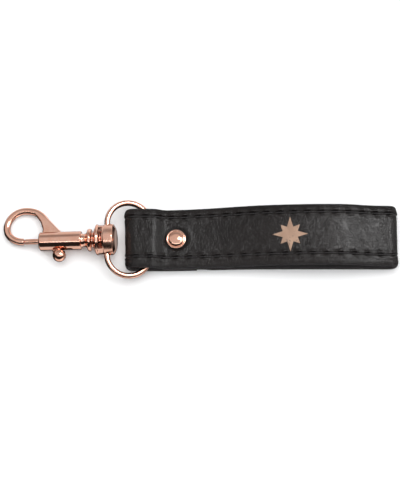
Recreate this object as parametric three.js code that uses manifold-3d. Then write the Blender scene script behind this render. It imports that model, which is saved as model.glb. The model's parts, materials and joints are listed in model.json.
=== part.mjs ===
// A wristlet keychain: a stitched strap folded into a hand loop and riveted round an oval link,
// with a swivelling trigger snap on the link. Millimetres, +Z up. The strap runs along +X, the
// snap points along -X, and everything lies on the plane z = 0, as it does on a table.
import * as THREE from 'three';
import { mergeVertices } from 'three/addons/utils/BufferGeometryUtils.js';
import Module from 'manifold-3d';

// ---------------------------------------------------------------- driving dimensions

// The strap is one three-ply strip. It starts as a tail under the rivet, folds round the link,
// runs along the top, folds at the far end and comes back along the floor into the riveted stack.
const strap = {
  length: 111.6, // from fold to fold
  width: 25,
  outerPly: 0.85,
  corePly: 0.25,
  liningPly: 0.6,
  glueGap: 0.02, // between plies
  layerGap: 0.05, // between the layers of the riveted stack
  crestHeight: 9.8, // top of the loop above the floor
  crestFromEnd: 27.4,
  endFoldHeight: 7,
};
const rivet = {
  fromFold: 20.9, // centre of the rivet from the pocket's fold
  flatHalf: 4.4, // the stack is flat this far to each side of the rivet
  tailPast: 8.5, // the tail ends this far past the rivet
  innerPast: 5.6, // and the loop's inner end this far past it on the link's side
  rise: 5.7, // run over which the strap comes down from the pocket to the stack
  capRadius: 4,
  capHeight: 1.5,
  capWall: 0.4,
  socketRadius: 1.5,
  pinRadius: 0.9,
  baseDepth: 0.7, // the rear cap is sunk this deep into the tail
};
const stitching = {
  upperInset: 3.3, // rows measured from the strap's two long edges
  lowerInset: 4.6,
  endMargin: 4,
  thread: 0.42,
  grooveWidth: 0.8,
  needleGroove: 0.5,
  bobbinGroove: 0.48,
};
const foil = {
  fromEnd: 44.1, // centre of the ornament from the far fold
  longRay: 7.2,
  shortRay: 5.6,
  hub: 3.3,
  thickness: 0.12,
};

// The oval link is a wire bent to two half circles and two straight bars.
const link = {
  wireRadius: 1.2,
  bendRadius: 8.8, // to the middle of the wire
  strapClearance: 1.7,
  barSetback: 10.1, // the held bar's place behind the pocket's fold
  hingeInset: 2, // the link turns about a line this far inside the held bar
  swing: 25, // degrees each way before the wire meets the pocket
};

// Every place along the snap is a distance from the bar that its swivel head turns on.
const head = {
  alongBar: -0.6, // where it rests along the link's straight bar
  rear: -3.8,
  drumRear: -3.2,
  drumFront: 0.8,
  drumRadius: 6.25,
  waistRadius: 5.9,
  ridge: 4,
  ridgeRadius: 6.35,
  front: 5.3,
  noseRadius: 3.6,
  rearRadius: 5.4,
  windowRear: 1.4,
  windowFront: 3.1,
  windowHalf: 4.4,
};
const swivel = {
  postRadius: 1.4,
  postHeadRadius: 3.6,
  postHeadLength: 1,
  plugLength: 4,
  washerRadius: 3.1,
  washerThickness: 0.6,
};
const barrel = {
  front: 28,
  radius: 3.7,
  chamfer: 0.4,
  noseWall: 3.7, // the front wall that guides the bolt
  flangeRadius: 4.65,
  flangeThickness: 1.6,
  neckRadius: 3.3,
  neckLength: 2.7,
};
const hook = {
  centre: 34.45, // the bend's centre along the snap
  bendRadius: 7.4, // to the middle of the hook's rod
  rise: 6, // the bend's centre above the bolt's axis
  rodRadius: 1.45,
  webThickness: 2.6,
  webBevel: 0.45,
};
const bolt = {
  radius: 1.15,
  shankRadius: 1.5,
  travel: 4.5,
  tailPastKnob: 1.5,
};
const knob = {
  place: 19.6,
  ballRadius: 2.6,
  ballHeight: 6.1, // centre of the ball from the bolt's axis
  stemRadius: 1,
  tenonRadius: 0.6,
  slotSlack: 1.2, // slot left ahead of the stem at rest
};
const spring = {
  wireRadius: 0.18,
  turns: 5,
  boreFit: 0.27, // between the coil and its bore
};

// Clearances between pieces that fit together.
const slideFit = 0.2;
const pinFit = 0.15;
const pressFit = 0.15;
const faceGap = 0.25;

// How finely round shapes are cut up.
const roundSides = 32;
const rodSides = 10;
const smallSides = 18;

const degrees = Math.PI / 180;

// ---------------------------------------------------------------- solids and meshes

const wasm = await Module();
wasm.setup();

// A closed three.js geometry as a solid that can be cut and joined.
function solid(geometry) {
  const bare = new THREE.BufferGeometry();
  bare.setAttribute('position', geometry.getAttribute('position'));
  bare.setIndex(geometry.index);
  const merged = mergeVertices(bare, 1e-4);
  const corners = merged.index.array;
  const kept = [];
  for (let i = 0; i < corners.length; i += 3) {
    const [a, b, c] = corners.slice(i, i + 3);
    if (a !== b && b !== c && c !== a) kept.push(a, b, c);
  }
  const vertProperties = merged.getAttribute('position').array;
  const triVerts = new Uint32Array(kept);
  return new wasm.Manifold(new wasm.Mesh({ numProp: 3, vertProperties, triVerts }));
}

// A solid back as a three.js geometry.
function geometryOf(made) {
  const { vertProperties, triVerts } = made.getMesh();
  const geometry = new THREE.BufferGeometry();
  geometry.setAttribute('position', new THREE.BufferAttribute(vertProperties, 3));
  geometry.setIndex(new THREE.BufferAttribute(triVerts, 1));
  geometry.computeVertexNormals();
  return geometry;
}

function finish(color, roughness, metalness) {
  return () => new THREE.MeshStandardMaterial({ color, roughness, metalness });
}
const roseGold = finish(0xd9a08a, 0.16, 1);
const leather = finish(0x17161a, 0.55, 0);
const liningLeather = finish(0x1d1b1e, 0.7, 0);
const coreBoard = finish(0x4a4038, 0.9, 0);
const blackThread = finish(0x0c0c0d, 0.75, 0);
const roseFoil = finish(0xe0a890, 0.3, 1);
const springSteel = finish(0xb8b6b2, 0.35, 1);
const plainSteel = finish(0xa8a5a0, 0.4, 1);

function addMesh(group, name, shape, material) {
  const geometry = shape instanceof THREE.BufferGeometry ? shape : geometryOf(shape);
  const mesh = new THREE.Mesh(geometry, material());
  mesh.name = name;
  group.add(mesh);
  return mesh;
}

// A turned shape. Its profile is [radius, place] pairs; along() lays it along the snap, where
// places count towards -X, and upright() stands it on z.
function turned(profile, sides = roundSides) {
  return new THREE.LatheGeometry(profile.map(([r, at]) => new THREE.Vector2(r, at)), sides);
}
const along = (geometry) => geometry.rotateZ(Math.PI / 2);
const upright = (geometry) => geometry.rotateX(Math.PI / 2);

function block(lowX, highX, halfY, lowZ, highZ) {
  const box = new THREE.BoxGeometry(highX - lowX, halfY * 2, highZ - lowZ);
  return box.translate((lowX + highX) / 2, 0, (lowZ + highZ) / 2);
}

// ---------------------------------------------------------------- where things come to rest

const stripThickness = strap.outerPly + strap.corePly + strap.liningPly + 2 * strap.glueGap;
const halfStrip = stripThickness / 2;
const layerPitch = stripThickness + strap.layerGap;

// The link is just wide enough inside for the strap to pass through its middle.
const linkStraight = strap.width + 2 * link.strapClearance
  - 2 * (link.bendRadius - link.wireRadius);

// How far the wire that lies between the strap's edges rises above the hinge line at full swing.
function linkSweep() {
  const lift = Math.sin(link.swing * degrees);
  let highest = link.hingeInset * lift + link.wireRadius;
  for (let angle = 0; angle <= 90; angle += 1) {
    const across = linkStraight / 2 + link.bendRadius * Math.sin(angle * degrees);
    const proud = Math.max(across - strap.width / 2, 0);
    if (proud >= link.wireRadius) break;
    const inset = link.bendRadius * (1 - Math.cos(angle * degrees)) - link.hingeInset;
    const section = Math.sqrt(link.wireRadius ** 2 - proud ** 2);
    highest = Math.max(highest, Math.abs(inset) * lift + section);
  }
  return highest;
}
const pocketGap = 2 * (linkSweep() + pinFit);
const pocketMiddle = stripThickness + pocketGap / 2;

// The snap lies on its head's ridge and the front of its barrel, so it points slightly down.
const ridgeToNose = barrel.front - barrel.chamfer - head.ridge;
const restPitch = Math.atan2(head.ridgeRadius - barrel.radius, ridgeToNose);
const headHeight = head.ridge * Math.sin(restPitch) + head.ridgeRadius * Math.cos(restPitch);
const linkReach = 2 * link.bendRadius - link.hingeInset;
const restTilt = Math.asin((headHeight - pocketMiddle) / linkReach);

// It also rolls on its barrel until the rim of the hook touches the floor.
function rollToFloor() {
  const slope = Math.tan(restPitch);
  const room = headHeight / Math.cos(restPitch);
  let low = 0;
  let high = Math.PI / 4;
  for (let step = 0; step < 30; step += 1) {
    const roll = (low + high) / 2;
    const rim = hook.bendRadius * Math.hypot(slope, Math.sin(roll));
    const middle = hook.centre * slope + hook.rise * Math.sin(roll);
    if (middle + rim + hook.rodRadius < room) low = roll;
    else high = roll;
  }
  return low;
}
const restRoll = rollToFloor();

// ---------------------------------------------------------------- the strap's run

// The middle line of the strip is drawn in the x-z plane, with the pocket's fold at x = 0.
// Each station keeps the point and the direction out of the strip's grain side.
const stations = [];

function addRun(curve, divisions) {
  for (let i = stations.length ? 1 : 0; i <= divisions; i += 1) {
    const { x, y } = curve.getPoint(i / divisions);
    const heading = curve.getTangent(i / divisions);
    stations.push({ x, z: y, outX: -heading.y, outZ: heading.x });
  }
}
function lineTo(x) {
  const { x: fromX, z } = stations.at(-1);
  addRun(new THREE.LineCurve(new THREE.Vector2(fromX, z), new THREE.Vector2(x, z)), 1);
}
// A smooth step to another height, level at both ends.
function easeTo(x, z, divisions, lead = 0.5) {
  const from = stations.at(-1);
  const reach = (x - from.x) * lead;
  addRun(new THREE.CubicBezierCurve(
    new THREE.Vector2(from.x, from.z),
    new THREE.Vector2(from.x + reach, from.z),
    new THREE.Vector2(x - reach, z),
    new THREE.Vector2(x, z),
  ), divisions);
}
function foldOver(radius, rising, divisions) {
  const { x, z } = stations.at(-1);
  const turn = rising ? Math.PI / 2 : -Math.PI / 2;
  const middle = z + (rising ? radius : -radius);
  addRun(new THREE.EllipseCurve(x, middle, radius, radius, -turn, turn, true), divisions);
}

const rivetPlace = rivet.fromFold;
const pocketFold = pocketGap / 2 + halfStrip;
const endFold = strap.endFoldHeight / 2 - halfStrip;
const stackFront = rivetPlace - rivet.flatHalf;
const tailEnd = rivetPlace + rivet.tailPast;
const crest = strap.length - strap.crestFromEnd;

stations.push({ x: tailEnd, z: halfStrip, outX: 0, outZ: -1 });
lineTo(tailEnd - stitching.endMargin);
lineTo(pocketFold + halfStrip);
foldOver(pocketFold, true, 12);
lineTo(stackFront - rivet.rise);
easeTo(stackFront, halfStrip + 2 * layerPitch, 8);
lineTo(rivetPlace + rivet.flatHalf);
easeTo(crest, strap.crestHeight - halfStrip, 16, 0.42);
easeTo(strap.length - endFold - halfStrip, strap.endFoldHeight - halfStrip, 8);
foldOver(endFold, false, 12);
lineTo(tailEnd + rivet.rise * 1.4);
easeTo(tailEnd + halfStrip, halfStrip + layerPitch, 8);
lineTo(rivetPlace - rivet.innerPast + stitching.endMargin);
lineTo(rivetPlace - rivet.innerPast);

// The slab between two distances out of the middle line, and between two places across.
function band(run, inner, outer, lowY, highY) {
  const out = (at) => run.map((s) => new THREE.Vector2(s.x + s.outX * at, s.z + s.outZ * at));
  const outline = new THREE.Shape([...out(outer), ...out(inner).reverse()]);
  const slab = new THREE.ExtrudeGeometry(outline, { depth: highY - lowY, bevelEnabled: false });
  return slab.rotateX(Math.PI / 2).translate(0, highY, 0);
}

// ---------------------------------------------------------------- the strap and its rivet

const strapGroup = new THREE.Group();
const halfWidth = strap.width / 2;
const grainFace = halfStrip;
const outerBack = grainFace - strap.outerPly;
const coreFace = outerBack - strap.glueGap;
const coreBack = coreFace - strap.corePly;
const liningFace = coreBack - strap.glueGap;
const stitchRun = stations.slice(1, -1);
const rows = {
  upper: halfWidth - stitching.upperInset,
  lower: -halfWidth + stitching.lowerInset,
};

function groove(row, inner, outer) {
  const half = stitching.grooveWidth / 2;
  return solid(band(stitchRun, inner, outer, row - half, row + half));
}
function uprightPin(radius, low, high) {
  const pin = new THREE.CylinderGeometry(radius, radius, high - low, smallSides);
  return solid(upright(pin).translate(rivetPlace, 0, (low + high) / 2));
}
const stackTop = stripThickness + 2 * layerPitch;
const rivetHole = uprightPin(rivet.socketRadius + pinFit, -1, stackTop + 1);
const baseSeat = uprightPin(rivet.capRadius + pinFit, -1, rivet.baseDepth);

let outerLayer = solid(band(stations, outerBack, grainFace, -halfWidth, halfWidth));
let lining = solid(band(stations, -halfStrip, liningFace, -halfWidth, halfWidth));
const core = solid(band(stations, coreBack, coreFace, -halfWidth, halfWidth));
const skim = strap.layerGap / 2;
for (const row of Object.values(rows)) {
  const needleCut = groove(row, grainFace - stitching.needleGroove, grainFace + skim);
  const bobbinCut = groove(row, -halfStrip - skim, -halfStrip + stitching.bobbinGroove);
  outerLayer = outerLayer.subtract(needleCut);
  lining = lining.subtract(bobbinCut);
}
addMesh(strapGroup, 'strap_outer_ply', outerLayer.subtract(rivetHole).subtract(baseSeat), leather);
addMesh(strapGroup, 'strap_core_ply', core.subtract(rivetHole), coreBoard);
addMesh(strapGroup, 'strap_lining_ply', lining.subtract(rivetHole), liningLeather);

// Each row is lock-stitched: a needle thread in the grain side and a bobbin thread in the lining.
for (const [side, row] of Object.entries(rows)) {
  const half = stitching.thread / 2;
  const needleBed = grainFace - stitching.needleGroove + strap.layerGap;
  const bobbinBed = -halfStrip + stitching.bobbinGroove - strap.layerGap;
  const needle = band(stitchRun, needleBed, needleBed + stitching.thread, row - half, row + half);
  const bobbin = band(stitchRun, bobbinBed - stitching.thread, bobbinBed, row - half, row + half);
  addMesh(strapGroup, `needle_thread_${side}`, needle, blackThread);
  addMesh(strapGroup, `bobbin_thread_${side}`, bobbin, blackThread);
}

// A double-cap rivet: the front cap is closed over a socket, and the rear cap over a pin.
function onRivet(profile, sides) {
  return upright(turned(profile, sides)).translate(rivetPlace, 0, 0);
}
function domeProfile(radius, base, height) {
  const bulge = (radius ** 2 + height ** 2) / (2 * height);
  const spread = Math.asin(radius / bulge);
  const points = [];
  for (let i = 0; i <= 6; i += 1) {
    const angle = spread * (1 - i / 6);
    points.push([bulge * Math.sin(angle), base + height - bulge * (1 - Math.cos(angle))]);
  }
  return points;
}
const capBase = stackTop + strap.layerGap;
const capHollow = rivet.capRadius - rivet.capWall;
const hollowDome = domeProfile(capHollow, capBase, rivet.capHeight - rivet.capWall);
addMesh(strapGroup, 'rivet_front_cap', onRivet([
  ...hollowDome.reverse(),
  ...domeProfile(rivet.capRadius, capBase, rivet.capHeight),
], 28), roseGold);

const socketFlange = capHollow - pinFit;
const socketTop = capBase + 0.35;
const socketBore = rivet.pinRadius + pinFit;
addMesh(strapGroup, 'rivet_front_socket', onRivet([
  [0, socketTop - 0.1],
  [socketBore, socketTop - 0.1],
  [socketBore, rivet.baseDepth + faceGap],
  [rivet.socketRadius, rivet.baseDepth + faceGap],
  [rivet.socketRadius, capBase],
  [socketFlange * 0.8, capBase],
  [socketFlange * 0.8, socketTop],
  [0, socketTop],
], smallSides), plainSteel);

const pinFlangeLow = rivet.baseDepth - 0.25;
addMesh(strapGroup, 'rivet_rear_pin', onRivet([
  [0, pinFlangeLow],
  [rivet.capRadius * 0.7, pinFlangeLow],
  [rivet.capRadius * 0.7, rivet.baseDepth - strap.layerGap],
  [rivet.pinRadius, rivet.baseDepth - strap.layerGap],
  [rivet.pinRadius, stackTop - faceGap],
  [0, stackTop - faceGap],
], smallSides), plainSteel);
addMesh(strapGroup, 'rivet_rear_cap', onRivet([
  [0, strap.layerGap],
  [rivet.capRadius - 0.3, strap.layerGap],
  [rivet.capRadius, pinFlangeLow - pinFit],
  [0, pinFlangeLow - pinFit],
], 28), roseGold);

// The foil ornament is an eight-ray star pressed onto the grain, following its curve.
function starOutline() {
  const corners = [];
  for (let i = 0; i < 16; i += 1) {
    const tip = i % 4 === 0 ? foil.longRay : foil.shortRay;
    const reach = i % 2 === 0 ? tip : foil.hub;
    const angle = (i * Math.PI) / 8;
    corners.push(new THREE.Vector2(reach * Math.cos(angle), reach * Math.sin(angle)));
  }
  return new THREE.Shape(corners);
}
const foilSheet = band(
  stations,
  grainFace + strap.glueGap,
  grainFace + strap.glueGap + foil.thickness,
  -halfWidth,
  halfWidth,
);
const foilStamp = new THREE.ExtrudeGeometry(starOutline(), {
  depth: strap.crestHeight * 2,
  bevelEnabled: false,
}).translate(strap.length - foil.fromEnd, 0, stripThickness);
addMesh(strapGroup, 'foil_star', solid(foilSheet).intersect(solid(foilStamp)), roseFoil);

// ---------------------------------------------------------------- the oval link

// A ring of wire whose two halves are drawn apart; its axis is z and its middle the origin.
function ovalLink() {
  const turns = 36;
  const ring = new THREE.TorusGeometry(link.bendRadius, link.wireRadius, rodSides, turns);
  ring.rotateZ(Math.PI / turns);
  const position = ring.getAttribute('position');
  for (let i = 0; i < position.count; i += 1) {
    const y = position.getY(i);
    position.setY(i, y + (Math.sign(y) * linkStraight) / 2);
  }
  return ring;
}
const linkGroup = new THREE.Group();
linkGroup.position.set(link.barSetback - link.hingeInset, 0, pocketMiddle);
linkGroup.rotation.y = restTilt;
const linkGeometry = ovalLink().translate(link.hingeInset - link.bendRadius, 0, 0);
addMesh(linkGroup, 'oval_link', solid(linkGeometry), roseGold);

// ---------------------------------------------------------------- the swivel head

const headGroup = new THREE.Group();
headGroup.position.set(-linkReach, head.alongBar, 0);
headGroup.rotation.y = -(restTilt + restPitch);

// Where the drum is wider than the link's straight bar, its hole also clears the start of the bend.
const pastBar = Math.max(head.drumRadius + Math.abs(head.alongBar) - linkStraight / 2, 0);
const barSag = link.bendRadius - Math.sqrt(link.bendRadius ** 2 - pastBar ** 2);
const linkHoleRadius = link.wireRadius + Math.max(faceGap, barSag + pinFit);
const linkHole = new THREE.CylinderGeometry(
  linkHoleRadius,
  linkHoleRadius,
  head.ridgeRadius * 3,
  smallSides,
);
const headBlank = along(turned([
  [0, head.rear],
  [head.rearRadius, head.rear],
  [head.drumRadius, head.drumRear],
  [head.drumRadius, head.drumFront],
  [head.waistRadius, head.drumFront + 0.4],
  [head.waistRadius, head.ridge - 0.7],
  [head.ridgeRadius, head.ridge],
  [head.noseRadius, head.front],
  [0, head.front],
]));
const postHole = along(turned([
  [0, head.windowRear],
  [swivel.postRadius + slideFit, head.windowRear],
  [swivel.postRadius + slideFit, head.front + 1],
  [0, head.front + 1],
], smallSides));
const window = block(
  -head.windowFront,
  -head.windowRear,
  head.windowHalf,
  -head.ridgeRadius * 1.5,
  head.ridgeRadius * 1.5,
);
const headSolid = solid(headBlank)
  .subtract(solid(linkHole))
  .subtract(solid(postHole))
  .subtract(solid(window));
addMesh(headGroup, 'swivel_head', headSolid, roseGold);

// ---------------------------------------------------------------- the snap's body

const snapGroup = new THREE.Group();
snapGroup.rotation.x = -restRoll;

const washerRear = head.front + slideFit;
const flangeRear = washerRear + swivel.washerThickness + slideFit;
const flangeFront = flangeRear + barrel.flangeThickness;
const barrelRear = flangeFront + barrel.neckLength;
const plugFront = flangeRear + swivel.plugLength;
const nose = barrel.front - barrel.noseWall;
const boreRadius = bolt.shankRadius + slideFit;

function neckCurve(divisions) {
  const waist = 2 * barrel.neckRadius - (barrel.flangeRadius + barrel.radius) / 2;
  const curve = new THREE.QuadraticBezierCurve(
    new THREE.Vector2(barrel.flangeRadius - barrel.chamfer, flangeFront),
    new THREE.Vector2(waist, (flangeFront + barrelRear) / 2),
    new THREE.Vector2(barrel.radius, barrelRear),
  );
  return curve.getPoints(divisions).map(({ x, y }) => [x, y]);
}
const barrelBlank = along(turned([
  [0, flangeRear],
  [barrel.flangeRadius - barrel.chamfer, flangeRear],
  [barrel.flangeRadius, flangeRear + barrel.chamfer],
  [barrel.flangeRadius, flangeFront - barrel.chamfer],
  ...neckCurve(6),
  [barrel.radius, barrel.front - barrel.chamfer],
  [barrel.radius - barrel.chamfer, barrel.front],
  [0, barrel.front],
], 28));
const barrelBore = along(turned([
  [0, flangeRear - 1],
  [boreRadius, flangeRear - 1],
  [boreRadius, nose],
  [bolt.radius + slideFit, nose],
  [bolt.radius + slideFit, barrel.front + 1],
  [0, barrel.front + 1],
], smallSides));

// The rod leaves the barrel's nose, sweeps up to the top of the bend, goes round and closes in
// on the bolt's axis, so that its end faces the bolt.
class HookBend extends THREE.Curve {
  getPoint(t, target = new THREE.Vector3()) {
    const angle = (90 + 180 * t) * degrees;
    const close = THREE.MathUtils.smoothstep(t, 0.5, 1);
    const radius = THREE.MathUtils.lerp(hook.bendRadius, hook.rise, close);
    const x = -hook.centre + radius * Math.cos(angle);
    return target.set(x, hook.rise + radius * Math.sin(angle), 0);
  }
}
const bendTop = hook.rise + hook.bendRadius;
const hookRoot = barrel.front - 6.1;
const hookLine = new THREE.CurvePath();
hookLine.add(new THREE.CubicBezierCurve3(
  new THREE.Vector3(-hookRoot, hook.rodRadius, 0),
  new THREE.Vector3(-hookRoot - 3, bendTop * 0.67, 0),
  new THREE.Vector3(-hook.centre + 7, bendTop, 0),
  new THREE.Vector3(-hook.centre, bendTop, 0),
));
hookLine.add(new HookBend());

function circleShape(radius, sides) {
  const corners = [];
  for (let i = 0; i < sides; i += 1) {
    const angle = ((i + 0.5) * 2 * Math.PI) / sides;
    corners.push(new THREE.Vector2(radius * Math.cos(angle), radius * Math.sin(angle)));
  }
  return new THREE.Shape(corners);
}
function rodAlong(path, radius, sides, steps) {
  return new THREE.ExtrudeGeometry(circleShape(radius, sides), { extrudePath: path, steps });
}

// The web is a flat plate that fills the corner between the rod and the barrel.
// Its corners are [along from the barrel's front, up from the barrel's side].
const webCorners = [
  [2.2, 8.3],
  [0.9, 6.9],
  [-0.6, 4.7],
  [-1.7, 1.5],
  [-1.5, -0.2],
  [-0.75, -1.1],
  [-8.6, -1.1],
  [-8.55, -0.14],
  [-1.1, 7.66],
  [0.5, 8.5],
];
function webPlate() {
  const outline = new THREE.Shape(webCorners.map(([ahead, up]) => (
    new THREE.Vector2(-barrel.front - ahead, barrel.radius + up)
  )));
  const depth = hook.webThickness - 2 * hook.webBevel;
  const plate = new THREE.ExtrudeGeometry(outline, {
    depth,
    bevelThickness: hook.webBevel,
    bevelSize: hook.webBevel,
    bevelSegments: 1,
  });
  return plate.translate(0, 0, -depth / 2);
}
const stemSlot = knob.stemRadius + slideFit;
const slot = block(
  -knob.place - stemSlot - knob.slotSlack,
  -knob.place + stemSlot + bolt.travel,
  barrel.radius / 2,
  -stemSlot,
  stemSlot,
).translate(0, -barrel.radius / 2 - bolt.radius, 0);
const bodySolid = solid(barrelBlank)
  .add(solid(rodAlong(hookLine, hook.rodRadius, rodSides, 34)))
  .add(solid(webPlate()))
  .subtract(solid(barrelBore))
  .subtract(solid(slot));
addMesh(snapGroup, 'snap_body', bodySolid, roseGold);

// ---------------------------------------------------------------- the swivel's post and washer

const postHeadFront = head.windowFront - faceGap;
const postHeadRear = postHeadFront - swivel.postHeadLength;
const plugRadius = boreRadius - pressFit;
addMesh(snapGroup, 'swivel_post', along(turned([
  [0, postHeadRear],
  [swivel.postHeadRadius - 0.6, postHeadRear],
  [swivel.postHeadRadius, postHeadRear + 0.5],
  [swivel.postHeadRadius, postHeadFront],
  [swivel.postRadius, postHeadFront],
  [swivel.postRadius, flangeRear],
  [plugRadius, flangeRear],
  [plugRadius, plugFront],
  [0, plugFront],
], smallSides)), plainSteel);
const washerBore = swivel.postRadius + pressFit;
addMesh(snapGroup, 'swivel_washer', along(turned([
  [washerBore, washerRear],
  [swivel.washerRadius, washerRear],
  [swivel.washerRadius, washerRear + swivel.washerThickness],
  [washerBore, washerRear + swivel.washerThickness],
  [washerBore, washerRear],
], smallSides)), roseGold);

// ---------------------------------------------------------------- bolt, thumb knob and spring

const boltTip = hook.centre - faceGap;
const boltTail = knob.place - bolt.tailPastKnob;
const shoulder = nose - faceGap;
const boltBlank = along(turned([
  [0, boltTail],
  [bolt.shankRadius, boltTail],
  [bolt.shankRadius, shoulder],
  [bolt.radius, shoulder],
  [bolt.radius, boltTip - 0.3],
  [bolt.radius - 0.3, boltTip],
  [0, boltTip],
], smallSides));
const tenonDepth = bolt.shankRadius;
const tenonHole = new THREE.CylinderGeometry(
  knob.tenonRadius + pressFit,
  knob.tenonRadius + pressFit,
  2 * tenonDepth,
  12,
).translate(-knob.place, -tenonDepth, 0);
addMesh(snapGroup, 'gate_bolt', solid(boltBlank).subtract(solid(tenonHole)), roseGold);

function knobBall(divisions) {
  const base = barrel.radius + faceGap;
  const start = Math.acos((knob.ballHeight - base) / knob.ballRadius);
  const points = [];
  for (let i = 0; i <= divisions; i += 1) {
    const angle = start + ((Math.PI - start) * i) / divisions;
    const radius = knob.ballRadius * Math.sin(angle);
    points.push([Math.max(radius, 0), knob.ballHeight - knob.ballRadius * Math.cos(angle)]);
  }
  return points;
}
const stemFoot = bolt.shankRadius + faceGap;
addMesh(snapGroup, 'thumb_knob', turned([
  [0, faceGap],
  [knob.tenonRadius, faceGap],
  [knob.tenonRadius, stemFoot],
  [knob.stemRadius, stemFoot],
  [knob.stemRadius, barrel.radius + faceGap],
  ...knobBall(10),
], smallSides).rotateX(Math.PI).translate(-knob.place, 0, 0), roseGold);

const coilRadius = boreRadius - spring.boreFit - spring.wireRadius;
class Coil extends THREE.Curve {
  getPoint(t, target = new THREE.Vector3()) {
    const angle = 2 * Math.PI * spring.turns * t;
    const rear = plugFront + faceGap + spring.wireRadius;
    const front = boltTail - faceGap - spring.wireRadius;
    const x = -THREE.MathUtils.lerp(rear, front, t);
    return target.set(x, coilRadius * Math.cos(angle), coilRadius * Math.sin(angle));
  }
}
addMesh(snapGroup, 'bolt_spring', rodAlong(new Coil(), spring.wireRadius, 5, 50), springSteel);

// ---------------------------------------------------------------- the whole keychain

headGroup.add(snapGroup);
linkGroup.add(headGroup);
const keychain = new THREE.Group();
keychain.add(strapGroup, linkGroup);
const bounds = new THREE.Box3().setFromObject(keychain, true);
keychain.position.x = -(bounds.min.x + bounds.max.x) / 2;

export default keychain;
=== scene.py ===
# %% [markdown]
# # A wristlet keychain
# A black leather strap is folded into a hand loop and riveted round an oval link. A swivelling
# trigger snap hangs on the link. Each section makes one piece or one finish of it. The packed
# frame gives the joints, the strap's box and the rivet's boxes. The other sizes are the part's
# own dimensions, given again here in millimetres, with small changes where a softer or fuller
# shape looks truer than the solid.

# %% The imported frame
import json
import math

import bmesh
import bpy
import numpy as np
from mathutils import Matrix, Vector


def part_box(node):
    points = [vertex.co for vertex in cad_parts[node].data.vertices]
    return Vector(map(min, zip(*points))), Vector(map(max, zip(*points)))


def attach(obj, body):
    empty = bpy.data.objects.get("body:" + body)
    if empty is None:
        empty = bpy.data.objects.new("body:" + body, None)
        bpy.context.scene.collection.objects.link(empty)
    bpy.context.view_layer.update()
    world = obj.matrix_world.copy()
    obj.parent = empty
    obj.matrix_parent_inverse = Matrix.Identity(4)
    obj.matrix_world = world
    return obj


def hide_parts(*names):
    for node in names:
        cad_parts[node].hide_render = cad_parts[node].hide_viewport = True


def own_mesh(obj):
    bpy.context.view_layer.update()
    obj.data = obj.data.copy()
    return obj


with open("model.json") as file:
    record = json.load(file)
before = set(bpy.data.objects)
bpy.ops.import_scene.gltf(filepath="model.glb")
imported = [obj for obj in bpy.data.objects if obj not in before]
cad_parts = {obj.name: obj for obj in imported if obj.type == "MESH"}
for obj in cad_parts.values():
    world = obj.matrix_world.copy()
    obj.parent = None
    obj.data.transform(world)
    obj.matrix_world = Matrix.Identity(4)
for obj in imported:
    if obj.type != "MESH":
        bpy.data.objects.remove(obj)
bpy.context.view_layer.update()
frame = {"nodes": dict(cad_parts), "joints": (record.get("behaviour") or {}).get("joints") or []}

MM = 0.001
joints = {j["name"]: j for j in frame["joints"]}

# %% [markdown]
# ## Camera, floor and light
# Polished metal shows nothing but its surroundings, so the light is planned as what the metal
# sees: a bright ceiling, a dark room on the near side and a pale table. A world shader does this
# without noise. A strip lamp and a soft box add the long highlights. Two small lamps that light
# nothing matt put the sheen on the leather, where it slopes, and one that is hidden from
# reflections lights the table.

# %% Camera
CAMERA_HEIGHT = math.radians(75)  # above the table, seen from the near long edge
CAMERA_REACH = 0.7
SENSOR = 36.0
VIEW_WIDTH = 0.1639  # of the scene that fits across the view, at the middle of the keychain
scene = bpy.context.scene
camera = bpy.data.objects.new("camera", bpy.data.cameras.new("camera"))
scene.collection.objects.link(camera)
look_at = Vector((0, -1.5 * MM, 4 * MM))
outward = Vector((0, -math.cos(CAMERA_HEIGHT), math.sin(CAMERA_HEIGHT)))
camera.location = look_at + CAMERA_REACH * outward
camera.rotation_euler = (math.pi / 2 - CAMERA_HEIGHT, 0, 0)
camera.data.sensor_fit = "HORIZONTAL"
camera.data.sensor_width = SENSOR
camera.data.lens = SENSOR * CAMERA_REACH / VIEW_WIDTH
camera.data.clip_start = 0.01
scene.camera = camera
scene.view_settings.view_transform = "Standard"
print("camera at", [round(v, 3) for v in camera.location])


# %% [markdown]
# ## Shader maths as plain sums
# A finish is easier to read as an expression than as a list of links. A Wire holds one socket,
# and each operator on it adds the Math node that does the sum.

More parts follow.
